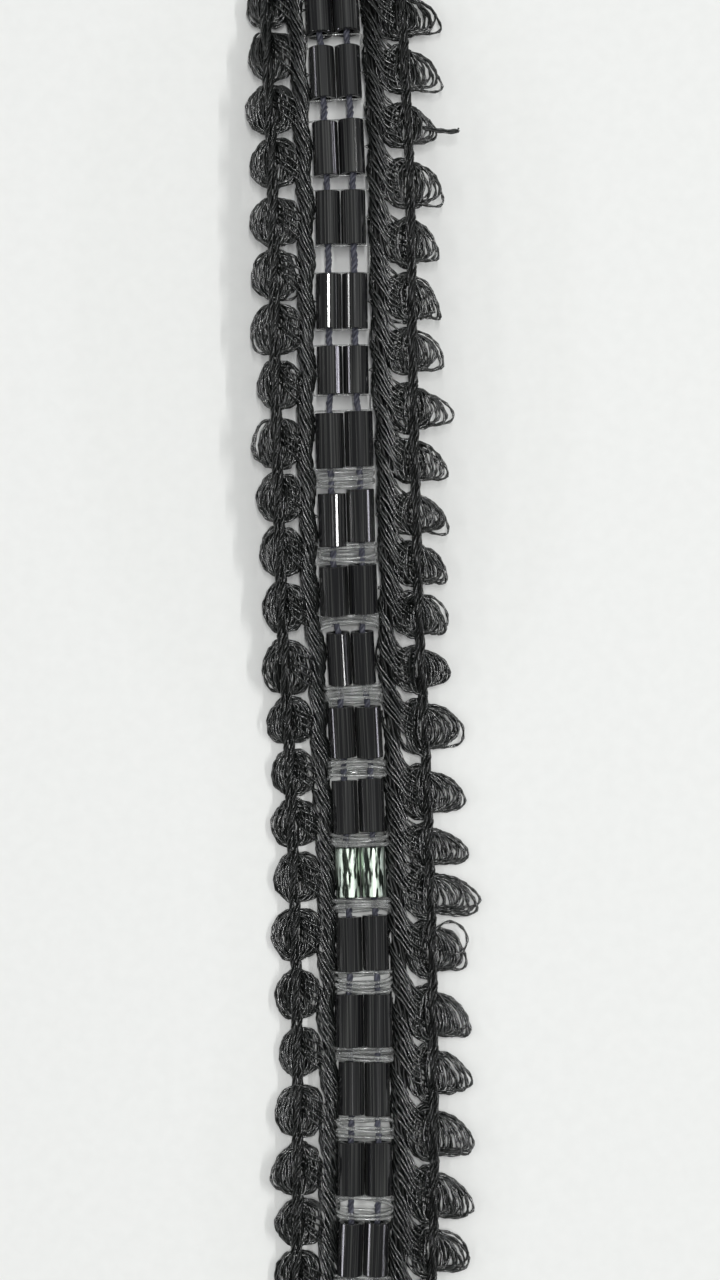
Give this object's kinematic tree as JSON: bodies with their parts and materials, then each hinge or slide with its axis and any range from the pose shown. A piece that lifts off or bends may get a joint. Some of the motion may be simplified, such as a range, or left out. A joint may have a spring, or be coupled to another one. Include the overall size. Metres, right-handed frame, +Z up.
{
  "type": "beaded braid trim",
  "caption": "Cut length of black beaded gimp braid for sewing onto clothes or furnishings: paired glass tube beads on strings, twisted side cords and edgings of looped buttons.",
  "frame": {"origin": "centre of the trim's footprint, on the surface that it lies on", "axes": "+Z up out of the trim's face, +Y along its length, +X across it, towards the looser edging"},
  "size_m": [0.0197, 0.12, 0.005],
  "materials": {
    "black_thread": "twisted shiny yarn",
    "navy_string": "tight waxed string",
    "black_glass": "opaque polished glass",
    "clear_filament": "clear"
  },
  "bodies": {
    "root": {"left_edging": "black_thread", "right_edging": "black_thread", "left_gimp": "black_thread", "right_gimp": "black_thread", "left_bead_string": "navy_string", "right_bead_string": "navy_string", "clear_weft": "clear_filament", "bead_left_01": "black_glass", "bead_left_02": "black_glass", "bead_left_03": "black_glass", "bead_left_04": "black_glass", "bead_left_05": "black_glass", "bead_left_06": "black_glass", "bead_left_07": "black_glass", "bead_left_08": "black_glass", "bead_left_09": "black_glass", "bead_left_10": "black_glass", "bead_left_11": "black_glass", "bead_left_12": "black_glass", "bead_left_13": "black_glass", "bead_left_14": "black_glass", "bead_left_15": "black_glass", "bead_left_16": "black_glass", "bead_left_17": "black_glass", "bead_left_18": "black_glass", "bead_left_19": "black_glass", "bead_left_20": "black_glass", "bead_right_01": "black_glass", "bead_right_02": "black_glass", "bead_right_03": "black_glass", "bead_right_04": "black_glass", "bead_right_05": "black_glass", "bead_right_06": "black_glass", "bead_right_07": "black_glass", "bead_right_08": "black_glass", "bead_right_09": "black_glass", "bead_right_10": "black_glass", "bead_right_11": "black_glass", "bead_right_12": "black_glass", "bead_right_13": "black_glass", "bead_right_14": "black_glass", "bead_right_15": "black_glass", "bead_right_16": "black_glass", "bead_right_17": "black_glass", "bead_right_18": "black_glass", "bead_right_19": "black_glass", "bead_right_20": "black_glass"}
  },
  "joints": []
}
